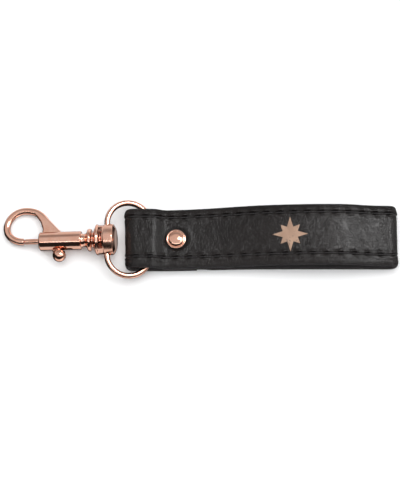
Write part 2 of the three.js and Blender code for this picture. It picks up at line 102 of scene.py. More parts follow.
# %% The Wire class
class Wire:
    """A socket in a node tree. Sums with it add Math nodes; node() adds any other node."""

    def __init__(self, tree, socket=None):
        self.tree = tree
        self.socket = socket

    def node(self, kind, settings=None, sockets=None, out=0):
        made = self.tree.nodes.new(kind)
        for key, value in (settings or {}).items():
            if key == "stops":
                while len(made.color_ramp.elements) < len(value):
                    made.color_ramp.elements.new(1)
                for stop, (place, shade) in zip(made.color_ramp.elements, value):
                    stop.position = place
                    stop.color = shade
            else:
                setattr(made, key, value)
        for key, value in (sockets or {}).items():
            if isinstance(value, Wire):
                self.tree.links.new(value.socket, made.inputs[key])
            else:
                made.inputs[key].default_value = value
        return Wire(self.tree, made.outputs[out] if made.outputs else None)

    def math(self, operation, *values):
        return self.node("ShaderNodeMath", {"operation": operation}, dict(enumerate(values)))

    def __add__(self, other):
        return self.math("ADD", self, other)

    def __sub__(self, other):
        return self.math("SUBTRACT", self, other)

    def __mul__(self, other):
        return self.math("MULTIPLY", self, other)

    def __rsub__(self, other):
        return self.math("SUBTRACT", other, self)

    __radd__ = __add__
    __rmul__ = __mul__

    def step(self, low, high):
        """0 below low, 1 above high, and smooth between them."""
        ranges = {"From Min": low, "From Max": high}
        return self.node("ShaderNodeMapRange", {"interpolation_type": "SMOOTHSTEP"},
                         {"Value": self, **ranges})

    def blend(self, first, second):
        """A colour between two colours, with this value as the share of the second."""
        return self.node("ShaderNodeMix", {"data_type": "RGBA"},
                         {0: self, 6: first, 7: second}, out=2)

    def noise(self, place, scale, detail=2.0, rough=0.5):
        return self.node("ShaderNodeTexNoise", {},
                         {"Vector": place, "Scale": scale, "Detail": detail, "Roughness": rough})


def rgb(red, green, blue):
    return (red, green, blue, 1.0)


print("Wire is ready")

# %% The surroundings
world = bpy.data.worlds.new("studio")
scene.world = world
world.use_nodes = True
world.node_tree.nodes.clear()
sky = Wire(world.node_tree)
toward = sky.node("ShaderNodeTexCoord", out="Generated")
sideways, across, upward = (sky.node("ShaderNodeSeparateXYZ", {}, {0: toward}, out=i)
                            for i in range(3))
open_side = (upward + across * 0.9 + sideways * 0.22).step(0.24, 0.40)
far_shade = across.step(0.3, 0.7) * upward.step(0.15, 0.4) * (1 - upward.step(0.6, 0.9))
table_glow = (across.math("ABSOLUTE", across).step(0.35, 0.72) * 0.8
              + sideways.step(0.1, 0.3) * 0.35)
above = upward.step(-0.08, 0.06)
CEILING, FAR_WALL_DROP, DARKEST = 0.68, 0.38, 0.02
glow = (above * open_side * (CEILING - far_shade * FAR_WALL_DROP)
        + (1 - above) * table_glow + DARKEST)
seen = sky.node("ShaderNodeLightPath", out="Is Camera Ray")
level = seen + (1 - seen) * glow
shine = sky.node("ShaderNodeBackground", {}, {"Color": rgb(1, 0.985, 0.97), "Strength": level})
sky.node("ShaderNodeOutputWorld", {}, {"Surface": shine})
print("world nodes", len(world.node_tree.nodes))


# %% Lamps
def soft_lamp(name, place, aim, size, power, seen_in_metal=True, lights_table=True):
    lamp = bpy.data.lights.new(name, "AREA")
    lamp.shape = "RECTANGLE"
    lamp.size, lamp.size_y = size
    lamp.energy = power
    lamp_object = bpy.data.objects.new(name, lamp)
    scene.collection.objects.link(lamp_object)
    lamp_object.location = place
    lamp_object.rotation_euler = (Vector(aim) - Vector(place)).to_track_quat("-Z", "Y").to_euler()
    lamp_object.visible_glossy = seen_in_metal
    lamp_object.visible_diffuse = lights_table
    lamp_object.visible_camera = False
    return lamp_object


soft_lamp("ceiling_strip", (0, -0.54, 1.13), (0, 0, 0), (1.8, 0.05), 1.4)
soft_lamp("right_softbox", (0.95, 0.1, 0.85), (0, 0, 0), (0.7, 1.0), 3.3)
soft_lamp("left_glint", (0.25, 0.26, 0.93), (-0.014, 0, 0), (0.2, 0.2), 1.7, lights_table=False)
soft_lamp("right_glint", (0.446, 0.245, 0.887), (0.063, 0, 0), (0.2, 0.2), 2.0, lights_table=False)
soft_lamp("table_fill", (-0.05, 0.16, 1.3), (0, 0, 0), (1.7, 1.7), 20, seen_in_metal=False)

# %% The table
FLOOR_DROP = 0.05 * MM
floor_mesh = bpy.data.meshes.new("floor")
reach = 6.0
floor_mesh.from_pydata(
    [(x, y, -FLOOR_DROP) for x, y in ((-reach, -reach), (reach, -reach), (reach, reach),
                                      (-reach, reach))],
    [], [(0, 1, 2, 3)])
floor = bpy.data.objects.new("floor", floor_mesh)
scene.collection.objects.link(floor)
floor.visible_glossy = False
table = bpy.data.materials.new("pale_table")
table.use_nodes = True
table_shader = table.node_tree.nodes["Principled BSDF"]
table_shader.inputs["Base Color"].default_value = rgb(0.86, 0.87, 0.88)
table_shader.inputs["Roughness"].default_value = 0.6
floor_mesh.materials.append(table)
print("floor at z =", -FLOOR_DROP)


# %% [markdown]
# ## Finishes
# Every finish reads Object coordinates in metres, so a grain cell or a scratch keeps its real
# size on every piece. Only colour, roughness, metalness and the bump vary over a surface.

# %% A shader with its bump
def finish(name, paint):
    """A new material. paint(place, start) returns sockets for the shader and a bump height."""
    made = bpy.data.materials.new(name)
    made.use_nodes = True
    made.node_tree.nodes.clear()
    start = Wire(made.node_tree)
    place = start.node("ShaderNodeTexCoord", out="Object")
    sockets, height, bump_reach = paint(place, start)
    bump = start.node("ShaderNodeBump", {}, {"Height": height, "Distance": bump_reach,
                                             "Strength": 1.0})
    shader = start.node("ShaderNodeBsdfPrincipled", {}, {**sockets, "Normal": bump})
    start.node("ShaderNodeOutputMaterial", {}, {"Surface": shader})
    return made


def stretched(start, place, scale, turn=0.0):
    return start.node("ShaderNodeMapping", {}, {"Vector": place, "Scale": scale,
                                                "Rotation": (0, 0, turn)})


# %% [markdown]
# ### Rose gold
# The hardware is zinc alloy, polished and plated in a copper-pink gold. The plating is slightly
# cloudy, and handling leaves fine scratches, so the roughness drifts and the bump carries two
# directions of very shallow scratches.

# %% Rose gold, polished and satin
def plated(base_roughness):
    def paint(place, start):
        cloud = start.noise(place, 260, 3, 0.6)
        smear = start.noise(place, 1400, 2, 0.6)
        one_way = start.noise(stretched(start, place, (1200, 14000, 9000), 0.5), 1, 1, 0.5)
        other_way = start.noise(stretched(start, place, (11000, 900, 9000), -0.3), 1, 1, 0.5)
        scratches = one_way.step(0.62, 0.75) + other_way.step(0.64, 0.78)
        colour = cloud.step(0.35, 0.7).blend(rgb(0.87, 0.485, 0.36), rgb(0.90, 0.55, 0.43))
        roughness = cloud * 0.04 + smear * 0.03 + scratches * 0.04 + base_roughness
        sockets = {"Base Color": colour, "Roughness": roughness, "Metallic": 1.0}
        return sockets, smear * 0.5 - scratches * 0.5, 0.0015 * MM
    return paint


rose_gold = finish("rose_gold_polished", plated(0.075))
rose_satin = finish("rose_gold_satin", plated(0.20))
print("plated", rose_gold.name, rose_satin.name)


# %% [markdown]
# ### Black grained leather
# Coated split leather has a pressed grain: rounded cells about half a millimetre across, inside
# creases about a millimetre apart. Two Voronoi patterns give them and noise breaks them up. Three
# attributes on the mesh say where the edge is painted, where the folds are rubbed pale, and where
# the stitches and the rivet press the grain in. The edge paint is a grey lighter than the grain,
# partly as a painted highlight along the rounded edge. The pressed grain is duller, and its colour
# is darkened towards black as painted shade in the dents.

# %% Leather
def grained(place, start):
    warp = start.noise(place, 900, 2, 0.5)
    cells = start.node("ShaderNodeTexVoronoi", {"feature": "F1"},
                       {"Vector": place, "Scale": 1900.0})
    valleys = start.node("ShaderNodeTexVoronoi", {"feature": "DISTANCE_TO_EDGE"},
                         {"Vector": place, "Scale": 1050.0})
    broad = start.noise(place, 60, 3, 0.55)
    fine = start.noise(place, 5200, 2, 0.6)
    paint = start.node("ShaderNodeAttribute", {"attribute_name": "painted_edge"}, out="Fac")
    worn = start.node("ShaderNodeAttribute", {"attribute_name": "worn"}, out="Fac")
    pressed = start.node("ShaderNodeAttribute", {"attribute_name": "pressed"}, out="Fac")
    crest = valleys.step(0.0, 0.26)
    grain = crest * 0.8 - cells * 0.5 + fine * 0.16 + warp * 0.6
    depth = grain * (1 - paint * 0.85)
    base = broad.step(0.3, 0.7).blend(rgb(0.0045, 0.0034, 0.0033), rgb(0.0085, 0.0066, 0.0064))
    rubbed = (worn * 0.8 * crest).blend(base, rgb(0.024, 0.022, 0.023))
    # Painted shade: where the stitches and the rivet dent the grain, the colour is darkened to near
    # black as if shade lay in the dents.
    dent_shaded_colour = (pressed * 0.85).blend(rubbed, rgb(0.001, 0.001, 0.001))
    # The edge paint is a dark grey, lighter than the grain. Part of that lightness is a painted
    # highlight for the light along the rounded edge.
    colour = paint.blend(dent_shaded_colour, rgb(0.026, 0.025, 0.027))
    roughness = 0.17 + broad * 0.10 + fine * 0.08 - paint * 0.02 + pressed * 0.3
    return {"Base Color": colour, "Roughness": roughness, "Specular IOR Level": 0.26}, \
        depth, 0.055 * MM


def fibrous(dark, light, roughness):
    def paint(place, start):
        nap = start.noise(place, 2600, 4, 0.7)
        patch = start.noise(place, 140, 2, 0.5)
        colour = (nap * 0.7 + patch * 0.3).step(0.3, 0.7).blend(dark, light)
        return {"Base Color": colour, "Roughness": roughness + patch * 0.1}, nap, 0.06 * MM
    return paint


grain_leather = finish("black_grain_leather", grained)
lining_leather = finish("black_lining", fibrous(rgb(0.014, 0.013, 0.014),
                                                rgb(0.032, 0.029, 0.031), 0.62))
core_board = finish("core_board", fibrous(rgb(0.03, 0.027, 0.025), rgb(0.07, 0.06, 0.052), 0.8))
print("leathers", grain_leather.name, lining_leather.name, core_board.name)


# %% [markdown]
# ### Thread, foil and steel
# The thread is waxed black polyester with a twist. The foil is hot-stamped, so the grain shows
# through it and it has worn away in specks. The steel parts are turned and left bare.

# %% Thread, foil and steel
def waxed(place, start):
    twist = start.node("ShaderNodeTexWave", {"bands_direction": "DIAGONAL"},
                       {"Vector": place, "Scale": 900.0, "Distortion": 1.5, "Detail": 1.0})
    fuzz = start.noise(place, 4000, 3, 0.6)
    colour = twist.blend(rgb(0.006, 0.006, 0.0065), rgb(0.03, 0.028, 0.029))
    return {"Base Color": colour, "Roughness": 0.42 + fuzz * 0.2}, twist + fuzz * 0.4, 0.05 * MM


def stamped(place, start):
    cells = start.node("ShaderNodeTexVoronoi", {"feature": "DISTANCE_TO_EDGE"},
                       {"Vector": place, "Scale": 1250.0})
    speck = start.noise(place, 1500, 4, 0.65)
    patch = start.noise(place, 160, 2, 0.5)
    bare = (speck + patch * 0.35).step(0.76, 0.83)
    foil_colour = patch.step(0.3, 0.7).blend(rgb(0.33, 0.215, 0.155), rgb(0.42, 0.285, 0.21))
    sockets = {"Base Color": bare.blend(foil_colour, rgb(0.05, 0.04, 0.035)),
               "Metallic": (1 - bare) * 0.75, "Roughness": 0.44 + patch * 0.16}
    return sockets, cells.step(0, 0.16) * 0.7 + speck * 0.3, 0.03 * MM


def turned_steel(place, start):
    rings = start.noise(stretched(start, place, (9000, 900, 900)), 1, 2, 0.6)
    patch = start.noise(place, 300, 2, 0.5)
    colour = patch.blend(rgb(0.50, 0.48, 0.46), rgb(0.66, 0.64, 0.61))
    sockets = {"Base Color": colour, "Roughness": 0.24 + rings * 0.16, "Metallic": 1.0}
    return sockets, rings, 0.004 * MM


waxed_thread = finish("waxed_thread", waxed)
rose_foil = finish("rose_foil", stamped)
bare_steel = finish("turned_steel", turned_steel)
print("finishes", len(bpy.data.materials))


# %% [markdown]
# ## Making closed skins
# Most pieces here are rings of points joined into a skin: a turned part, a bent wire or a strip
# of leather. One function joins the rings, so every piece is closed and faces outwards.

# %% Skins, cuts and settled modifiers
def skin(rings, loop=False):
    """Joins rings of points into a closed skin, capped at the ends unless it is a loop."""
    rings = np.asarray(rings, float)
    count, sides = rings.shape[:2]
    faces = []
    for i in range(count if loop else count - 1):
        low, high = i * sides, ((i + 1) % count) * sides
        for k in range(sides):
            after = (k + 1) % sides
            faces.append((low + k, low + after, high + after, high + k))
    if not loop:
        faces.append(tuple(range(sides))[::-1])
        faces.append(tuple((count - 1) * sides + k for k in range(sides)))
    return rings.reshape(-1, 3), faces


def new_piece(name, points, faces, material, crease=35):
    mesh = bpy.data.meshes.new(name)
    mesh.from_pydata([tuple(p) for p in points], [], faces)
    work = bmesh.new()
    work.from_mesh(mesh)
    bmesh.ops.recalc_face_normals(work, faces=work.faces)
    work.to_mesh(mesh)
    work.free()
    piece = bpy.data.objects.new(name, mesh)
    scene.collection.objects.link(piece)
    mesh.materials.append(material)
    smooth(piece, crease)
    return piece


def smooth(piece, crease=35):
    piece.data.shade_smooth()
    piece.data.set_sharp_from_angle(angle=math.radians(crease))


def settle(piece):
    """Turns the result of the piece's modifiers into its plain mesh."""
    graph = bpy.context.evaluated_depsgraph_get()
    made = bpy.data.meshes.new_from_object(piece.evaluated_get(graph))
    piece.modifiers.clear()
    piece.data = made
    return piece


def combine(piece, other, operation):
    cut = piece.modifiers.new("cut", "BOOLEAN")
    cut.operation = operation
    cut.object = other
    cut.solver = "EXACT"
    settle(piece)
    bpy.data.objects.remove(other)
    return piece


def eased(points, radius, steps=4, loop=False):
    """Rounds the corners of a line of 2-D points."""
    points = [np.array(p, float) for p in points]
    made = []
    for i, corner in enumerate(points):
        if not loop and i in (0, len(points) - 1):
            made.append(corner)
            continue
        before = points[i - 1] - corner
        after = points[(i + 1) % len(points)] - corner
        start = corner + before * min(radius / np.linalg.norm(before), 0.48)
        end = corner + after * min(radius / np.linalg.norm(after), 0.48)
        for t in np.linspace(0, 1, steps + 1):
            made.append(start * (1 - t) ** 2 + corner * 2 * t * (1 - t) + end * t ** 2)
    return made


def triangles(piece):
    return sum(len(p.vertices) - 2 for p in piece.data.polygons)


# %% [markdown]
# ## The snap's own axes
# The snap and its head lie at a slant, so they are easiest to draw along their own axis: places
# are millimetres in front of the link's bar, and the pose comes from the joints of the frame.

# %% Axes of the snap, the head and the link
snap_origin = Vector(joints["snap_swivel"]["pos_m"])
back = Vector(joints["snap_swivel"]["axis"]).normalized()
level_y = Vector((0, 1, 0))
level_z = back.cross(level_y)
HOOK_CENTRE, HOOK_BEND, HOOK_RISE, ROD = 34.45, 7.4, 6.0, 1.45


def roll_to_table():
    """The snap rolls on its barrel until the hook's rim is on the table."""
    slope = back.z / back.x
    room = snap_origin.z / MM / back.x
    low, high = 0.0, math.pi / 4
    for _ in range(30):
        roll = (low + high) / 2
        rim = HOOK_BEND * math.hypot(slope, math.sin(roll))
        middle = HOOK_CENTRE * slope + HOOK_RISE * math.sin(roll)
        low, high = (roll, high) if middle + rim + ROD < room else (low, roll)
    return low


SNAP_ROLL = roll_to_table()
snap_y = math.cos(SNAP_ROLL) * level_y - math.sin(SNAP_ROLL) * level_z
snap_z = math.cos(SNAP_ROLL) * level_z + math.sin(SNAP_ROLL) * level_y


def axes(origin, x, y, z):
    turn = Matrix((x, y, z)).transposed().to_4x4()
    return Matrix.Translation(origin) @ turn @ Matrix.Scale(MM, 4)


SNAP = axes(snap_origin, back, snap_y, snap_z)
HEAD = axes(snap_origin, back, level_y, level_z)
link_hinge = Vector(joints["link_swing"]["pos_m"])
link_back = Vector((link_hinge.x - snap_origin.x, 0, link_hinge.z - snap_origin.z)).normalized()
LINK = axes(link_hinge, link_back, level_y, link_back.cross(level_y))


def laid(points, pose):
    """Points in millimetres, put in their place in the frame."""
    points = np.asarray(points, float)
    matrix = np.array(pose)
    return points @ matrix[:3, :3].T + matrix[:3, 3]


def turned(profile, sides=72, loop=False):
    """Rings round the snap's axis, from (place, radius) pairs in millimetres."""
    angles = np.linspace(0, 2 * math.pi, sides, endpoint=False)
    rings = [np.stack([np.full(sides, -place), radius * np.cos(angles), radius * np.sin(angles)],
                      axis=1) for place, radius in profile]
    return skin(rings, loop)


def tube(line, radii, sides, across=(0, 0, 1), loop=False):
    """Rings along a flat line; across is the direction square to its plane."""
    line = np.asarray(line, float)
    if loop:
        heading = np.roll(line, -1, 0) - np.roll(line, 1, 0)
    else:
        heading = np.gradient(line, axis=0)
    heading /= np.linalg.norm(heading, axis=1)[:, None]
    side = np.cross(np.asarray(across, float), heading)
    angles = np.linspace(0, 2 * math.pi, sides, endpoint=False)
    radii = np.broadcast_to(radii, len(line))
    rings = [p + r * (np.cos(angles)[:, None] * s + np.sin(angles)[:, None] * across)
             for p, r, s in zip(line, radii, side)]
    return skin(rings, loop)


print("snap points along", [round(-v, 3) for v in back], "roll", math.degrees(SNAP_ROLL))

# %% [markdown]
# ## The oval link
# A wire bent to two half circles and two straight bars, with the join buffed away. A swept circle
# is all it needs, as long as it is fine enough for clean reflections.

# %% Oval link
WIRE = 1.2
LINK_BEND = 8.8
LINK_BAR = 13.2  # length of each straight bar
LINK_INSET = 2.0  # hinge line to the held bar


def oval_line(points_per_bend=48, points_per_bar=14):
    line = []
    for side in (1, -1):
        for angle in np.linspace(0, math.pi, points_per_bend, endpoint=False):
            turn = angle if side == 1 else angle + math.pi
            line.append((LINK_BEND * math.cos(turn),
                         LINK_BEND * math.sin(turn) + side * LINK_BAR / 2, 0))
        for share in np.linspace(0, 1, points_per_bar, endpoint=False):
            line.append((-side * LINK_BEND, side * LINK_BAR * (0.5 - share), 0))
    return np.array(line) + (LINK_INSET - LINK_BEND, 0, 0)


points, faces = tube(oval_line(), WIRE, 32, loop=True)
oval_link = new_piece("oval_link_wire", laid(points, LINK), faces, rose_gold)
print("oval link", triangles(oval_link), "triangles")

# %% [markdown]
# ## The swivel head
# A turned drum that the link runs through, with a ridge and a window where the rivet head of the
# swivel shows. It is turned, and then the hole, the window and the post's bore are cut from it.

# %% Swivel head
head_profile = eased([(-3.85, 0.05), (-3.7, 4.6), (-2.75, 6.3), (0.8, 6.3), (1.15, 5.95),
                      (3.3, 5.9), (3.6, 6.3), (4.25, 6.3), (5.3, 3.7), (5.3, 0.05)], 0.28, 4)
points, faces = turned(head_profile, 96)
swivel_head = new_piece("swivel_head_drum", laid(points, HEAD), faces, rose_gold)
hole_line = np.array([(0, y, 0) for y in np.linspace(-9, 9, 3)])
points, faces = tube(hole_line, 1.98, 48)
combine(swivel_head, new_piece("hole", laid(points, HEAD), faces, rose_gold), "DIFFERENCE")
window = eased([(-3.1, -4.4), (-1.4, -4.4), (-1.4, 4.4), (-3.1, 4.4)], 0.35, 3, loop=True)
points, faces = skin([[(x, y, z) for x, y in window] for z in (-9, 9)])
combine(swivel_head, new_piece("window", laid(points, HEAD), faces, rose_gold), "DIFFERENCE")
points, faces = turned([(1.4, 1.6), (6.5, 1.6)], 48)
combine(swivel_head, new_piece("bore", laid(points, HEAD), faces, rose_gold), "DIFFERENCE")
swivel_head.data.materials.append(rose_satin)
for face in swivel_head.data.polygons:
    if -(face.center - snap_origin).dot(back) / MM < 0.9 and abs(face.normal.dot(back)) < 0.2:
        face.material_index = 1
smooth(swivel_head, 30)
print("head", triangles(swivel_head), "triangles")

# %% Swivel post and washer
post_profile = eased([(1.85, 0.05), (1.85, 3.0), (2.35, 3.6), (2.85, 3.6), (2.85, 1.4),
                      (6.3, 1.4), (6.3, 1.55), (10.3, 1.55), (10.3, 0.05)], 0.14, 3)
points, faces = turned(post_profile, 48)
swivel_post = new_piece("swivel_post_rivet", laid(points, SNAP), faces, rose_gold)
washer_profile = eased([(5.5, 1.55), (5.5, 3.1), (6.1, 3.1), (6.1, 1.55)], 0.12, 3, loop=True)
points, faces = turned(washer_profile, 64, loop=True)
swivel_washer = new_piece("swivel_washer_ring", laid(points, SNAP), faces, rose_gold)
print("post and washer", triangles(swivel_post), triangles(swivel_washer))

# %% [markdown]
# ## The snap's body
# One casting: a barrel with a flange and a waisted neck, and a round hook whose root spreads into
# a flat web. The hook and the web are voxel remeshed together, which gives the soft fillet of a
# casting, and the barrel is turned and joined to them, so its edges stay crisp. The bore for the
# bolt and the slot for the knob are cut last.

# %% The hook and its web
HOOK_ROOT = 21.9
HOOK_TOP = HOOK_RISE + HOOK_BEND


def bezier(a, b, c, d, count, first=0):
    t = np.linspace(0, 1, count + 1)[first:, None]
    a, b, c, d = (np.array(p, float) for p in (a, b, c, d))
    return a * (1 - t) ** 3 + 3 * b * t * (1 - t) ** 2 + 3 * c * t ** 2 * (1 - t) + d * t ** 3


root_line = bezier((-HOOK_ROOT, ROD), (-HOOK_ROOT - 3, HOOK_TOP * 0.67),
                   (-HOOK_CENTRE + 7, HOOK_TOP), (-HOOK_CENTRE, HOOK_TOP), 40)
bend_line = []
for t in np.linspace(0, 1, 61)[1:]:
    closing = min(max((t - 0.5) / 0.5, 0), 1)
    closing = closing * closing * (3 - 2 * closing)
    radius = HOOK_BEND + (HOOK_RISE - HOOK_BEND) * closing
    angle = math.pi * (0.5 + t)
    bend_line.append((-HOOK_CENTRE + radius * math.cos(angle),
                      HOOK_RISE + radius * math.sin(angle)))
hook_line = np.array([(*p, 0) for p in [*root_line, *bend_line]])
hook_radii = np.full(len(hook_line), ROD)
hook_radii[-1] -= 0.2
hook_radii[:30] = np.linspace(1.15, ROD, 30)
points, faces = tube(hook_line, hook_radii, 40)
hook = new_piece("snap_casting", points, faces, rose_gold)

web_line = eased([(-28 - ahead, 3.7 + up) for ahead, up in (
    (2.2, 8.3), (0.9, 6.9), (-0.6, 4.7), (-1.7, 1.5), (-1.5, -0.2), (-0.75, -1.1),
    (-8.6, -1.1), (-8.55, -0.14), (-1.1, 7.66), (0.5, 8.5))], 0.5, 4, loop=True)
web_middle = np.mean(web_line, axis=0)
web_half = 1.3
web_rings = []
for z, grow in ((-web_half, -0.1), (-web_half + 0.25, 0.2), (-web_half + 0.6, 0.42),
                (web_half - 0.6, 0.42), (web_half - 0.25, 0.2), (web_half, -0.1)):
    ring = np.array(web_line)
    after, before = np.roll(ring, -1, 0), np.roll(ring, 1, 0)
    along_edge = after - before
    along_edge /= np.linalg.norm(along_edge, axis=1)[:, None]
    away = np.stack([along_edge[:, 1], -along_edge[:, 0]], axis=1)
    if np.sum(away * (ring - web_middle)) < 0:
        away = -away
    ring = ring + away * grow
    web_rings.append([(x, y, z) for x, y in ring])
points, faces = skin(web_rings)
web = new_piece("web", points, faces, rose_gold)
combine(hook, web, "UNION")
shell = hook.modifiers.new("casting", "REMESH")
shell.mode = "VOXEL"
shell.voxel_size = 0.13
settle(hook)
relax = hook.modifiers.new("relax", "SMOOTH")
relax.factor = 0.5
relax.iterations = 7
settle(hook)
hook.data.transform(SNAP)
print("hook and web", triangles(hook), "triangles")

# %% The barrel, its bore and its slot
BARREL = 3.78
neck = bezier((7.9, 4.25), (8.3, 2.2), (9.8, 2.5), (10.45, 2.95), 14)
barrel_profile = [(6.3, 0.05), *eased([(6.3, 1.9), (6.3, 4.3), (6.75, 4.65), (7.5, 4.65),
                                       (7.9, 4.25)], 0.2, 3),
                  *neck[1:-1], *eased([(10.45, 2.95), (10.65, BARREL), (14, BARREL),
                                       (27.55, BARREL), (28, 3.35), (28, 1.9)], 0.25, 4),
                  (28, 0.05)]
points, faces = turned(barrel_profile, 96)
body = new_piece("snap_body_casting", laid(points, SNAP), faces, rose_gold)
combine(body, hook, "UNION")
bore_profile = [(6.2, 0.05), (6.2, 1.7), (24.3, 1.7), (24.3, 1.35), (29.5, 1.35), (29.5, 0.05)]
points, faces = turned(bore_profile, 48)
combine(body, new_piece("bore", laid(points, SNAP), faces, rose_gold), "DIFFERENCE")
slot_line = eased([(-22, -1.2), (-13.9, -1.2), (-13.9, 1.2), (-22, 1.2)], 1.1, 6, loop=True)
points, faces = skin([[(x, y, z) for x, z in slot_line] for y in (-4.8, -1.15)])
combine(body, new_piece("slot", laid(points, SNAP), faces, rose_gold), "DIFFERENCE")
body.name = "snap_body_casting"
smooth(body, 38)
print("snap body", triangles(body), "triangles")

# %% [markdown]
# ## Bolt, knob and spring
# The bolt closes the hook's mouth. The thumb knob stands on it through the slot, on a flared
# collar, and a coil spring behind it pushes it shut. The spring is a spiral from Geometry Nodes.

# %% Bolt and knob
bolt_profile = eased([(18.1, 0.05), (18.1, 1.5), (24.05, 1.5), (24.05, 1.15), (33.9, 1.15),
                      (34.2, 0.85), (34.2, 0.05)], 0.15, 3)
points, faces = turned(bolt_profile, 48)
gate_bolt = new_piece("gate_bolt_rod", laid(points, SNAP), faces, rose_gold)
points, faces = skin([[(-19.6 + 0.75 * math.cos(a), y, 0.75 * math.sin(a))
                       for a in np.linspace(0, 2 * math.pi, 32, endpoint=False)]
                      for y in (-2, 0.1)])
combine(gate_bolt, new_piece("hole", laid(points, SNAP), faces, rose_gold), "DIFFERENCE")
smooth(gate_bolt, 30)

ball = [(6.15 - 2.75 * math.cos(a), 2.75 * math.sin(a)) for a in np.linspace(0.9, 3.12, 26)]
knob_profile = [(0.25, 0.05), (0.25, 0.55), (0.3, 0.6), (1.75, 0.6), (1.75, 0.95), (1.8, 1.0),
                (3.95, 1.0), (3.95, 1.9), (4.02, 2.06), (4.2, 2.12), (4.32, 2.02), (4.42, 1.86),
                (4.52, 1.9), *ball]
angles = np.linspace(0, 2 * math.pi, 56, endpoint=False)
points, faces = skin([[(-19.6 - 0.8 * (3.9 < place < 4.45) + r * math.cos(a), -place,
                        r * math.sin(a)) for a in angles] for place, r in knob_profile])
thumb_knob = new_piece("thumb_knob_ball", laid(points, SNAP), faces, rose_gold, 40)
print("bolt and knob", triangles(gate_bolt), triangles(thumb_knob))


# %% Helpers for Geometry Nodes
def node_group(name, inputs):
    """A Geometry Nodes tree with named inputs, as (tree, group input node)."""
    tree = bpy.data.node_groups.new(name, "GeometryNodeTree")
    tree.interface.new_socket("Geometry", in_out="INPUT", socket_type="NodeSocketGeometry")
    for label, kind in inputs.items():
        tree.interface.new_socket(label, in_out="INPUT", socket_type=f"NodeSocket{kind}")
    tree.interface.new_socket("Geometry", in_out="OUTPUT", socket_type="NodeSocketGeometry")
    return tree, Wire(tree).node


def run_tree(name, tree, mesh, values):
    """Runs a tree on a mesh and returns the result as a plain mesh piece."""
    piece = bpy.data.objects.new(name, mesh)
    scene.collection.objects.link(piece)
    run = piece.modifiers.new("nodes", "NODES")
    run.node_group = tree
    for item in tree.interface.items_tree:
        if item.in_out == "INPUT" and item.name in values:
            run[item.identifier] = values[item.name]
    settle(piece)
    return piece


def finish_tree(tree, geometry):
    """Ends a tree: instances made real, the material set, and the group's output."""
    start = Wire(tree)
    entry = [n for n in tree.nodes if n.bl_idname == "NodeGroupInput"][0]
    real = start.node("GeometryNodeRealizeInstances", {}, {"Geometry": geometry})
    painted = start.node("GeometryNodeSetMaterial", {},
                         {"Geometry": real, "Material": Wire(tree, entry.outputs["Material"])})
    smoothed = start.node("GeometryNodeSetShadeSmooth", {}, {"Geometry": painted})
    output = tree.nodes.new("NodeGroupOutput")
    tree.links.new(smoothed.socket, output.inputs["Geometry"])


def group_input(tree):
    entry = tree.nodes.new("NodeGroupInput")
    return lambda name: Wire(tree, entry.outputs[name])


# %% Bolt spring
spring_tree, node = node_group("spring", {"Radius": "Float", "Length": "Float", "Turns": "Float",
                                          "Wire": "Float", "Material": "Material"})
given = group_input(spring_tree)
coil = node("GeometryNodeCurveSpiral", {}, {
    "Resolution": 28, "Rotations": given("Turns"), "Start Radius": given("Radius"),
    "End Radius": given("Radius"), "Height": given("Length")})
section = node("GeometryNodeCurvePrimitiveCircle", {}, {"Resolution": 10, "Radius": given("Wire")})
wound = node("GeometryNodeCurveToMesh", {}, {"Curve": coil, "Profile Curve": section,
                                            "Fill Caps": True})
finish_tree(spring_tree, wound)
SPRING_REAR, SPRING_FRONT, SPRING_WIRE, SPRING_COIL = 10.55, 17.85, 0.18, 1.25
bolt_spring = run_tree("bolt_spring_coil", spring_tree, bpy.data.meshes.new("seed"), {
    "Radius": SPRING_COIL * MM, "Length": (SPRING_FRONT - SPRING_REAR - 2 * SPRING_WIRE) * MM,
    "Turns": 5.0, "Wire": SPRING_WIRE * MM, "Material": bare_steel})
spring_pose = Matrix((-back, snap_y, -snap_z)).transposed().to_4x4() @ Matrix(
    ((0, 0, 1, 0), (1, 0, 0, 0), (0, 1, 0, 0), (0, 0, 0, 1)))
spring_start = snap_origin - back * (SPRING_REAR + SPRING_WIRE) * MM
bolt_spring.data.transform(Matrix.Translation(spring_start) @ spring_pose)
print("spring", triangles(bolt_spring), "triangles")

# %% [markdown]
# ## The strap's run
# The strap is one strip of three plies. It is drawn as a middle line in the x-z plane: tail,
# fold round the link, riveted stack, the rise to the loop's crest, the far fold and the way back.
# Every ply, thread and stamp is placed by how far it is along that line, so they all agree.

# %% The middle line
strap_low, strap_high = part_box("strap_outer_ply")
OUTER, CORE, LINING, GLUE = 0.85, 0.25, 0.6, 0.02
HALF = (OUTER + CORE + LINING + 2 * GLUE) / 2
LAYER = 2 * HALF + 0.05
HALF_WIDTH = (strap_high.y - strap_low.y) / MM / 2
LENGTH = (strap_high.x - strap_low.x) / MM
CREST = strap_high.z / MM
END_HEIGHT = 7.0
POCKET_FOLD = link_hinge.z / MM - HALF
END_FOLD = END_HEIGHT / 2 - HALF
RIVET = 20.9
STACK_HALF = 4.4
TAIL_END = RIVET + 8.5
INNER_END = RIVET - 5.6
RISE = 5.7

run = [np.array([(TAIL_END, HALF)])]


def line_to(x):
    start = run[-1][-1]
    count = max(int(abs(x - start[0]) / 0.05), 2)
    run.append(np.linspace(start, (x, start[1]), count + 1)[1:])


def ease_to(x, z, lead=0.5):
    start = run[-1][-1]
    lead_x = (x - start[0]) * lead
    count = int(abs(x - start[0]) / 0.05)
    run.append(bezier(start, (start[0] + lead_x, start[1]), (x - lead_x, z), (x, z), count, 1))


def fold_over(radius, rising):
    start = run[-1][-1]
    turn = 1 if rising else -1
    angles = np.linspace(-math.pi / 2, math.pi / 2, 120)[1:]
    x = start[0] - turn * radius * np.cos(angles)
    z = start[1] + turn * radius * (1 + np.sin(angles))
    run.append(np.stack([x, z], axis=1))


